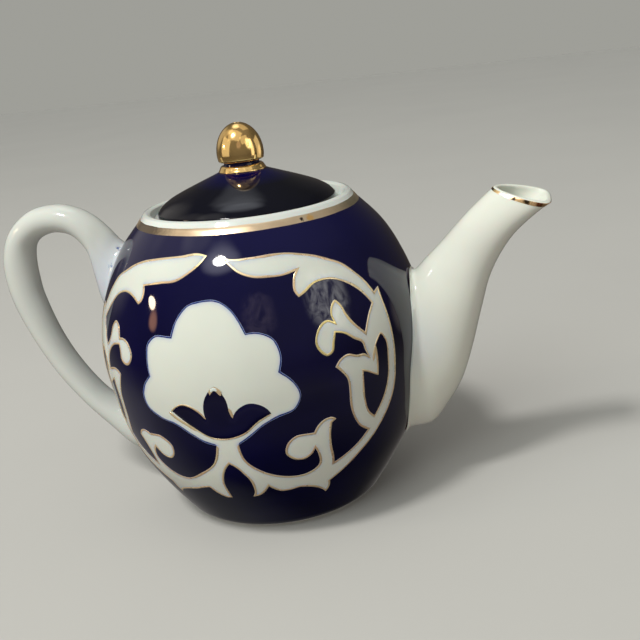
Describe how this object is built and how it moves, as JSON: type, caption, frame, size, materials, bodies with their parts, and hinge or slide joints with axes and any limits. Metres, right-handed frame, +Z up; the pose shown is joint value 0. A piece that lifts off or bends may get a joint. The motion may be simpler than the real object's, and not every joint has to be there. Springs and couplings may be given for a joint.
{
  "type": "teapot",
  "caption": "Round porcelain teapot with a leaning spout, a loop handle and a drop-in lid with an acorn knob, cobalt blue with white scrolls and gilding.",
  "frame": {"origin": "centre of the foot, on the surface that the pot stands on", "axes": "+Z up along the pot's own axis, +X along the spout, the handle along -X, the painted front faces -Y"},
  "size_m": [0.2055, 0.118, 0.1384],
  "materials": {
    "cobalt_glaze": "deep cobalt blue glaze, high gloss",
    "white_porcelain": "clear glaze over white porcelain, high gloss",
    "bare_porcelain": "unglazed, ground smooth, matt",
    "gilding": "burnished liquid-gold gilding, worn in places"
  },
  "bodies": {
    "pot": {"body_shell": "cobalt_glaze", "foot_ring": "bare_porcelain", "mouth_collar": "white_porcelain", "mouth_gilding": "gilding", "spout": "white_porcelain", "spout_gilding": "gilding", "handle": "white_porcelain"},
    "lid": {"lid_dome": "cobalt_glaze", "lid_flange": "white_porcelain", "knob_neck": "cobalt_glaze", "knob_collar": "gilding", "knob": "gilding"}
  },
  "joints": [
    {"name": "lid_lift", "type": "slide", "parent": "pot", "child": "lid", "axis": [0, 0, 1], "range_m": [0, 0.04]}
  ]
}
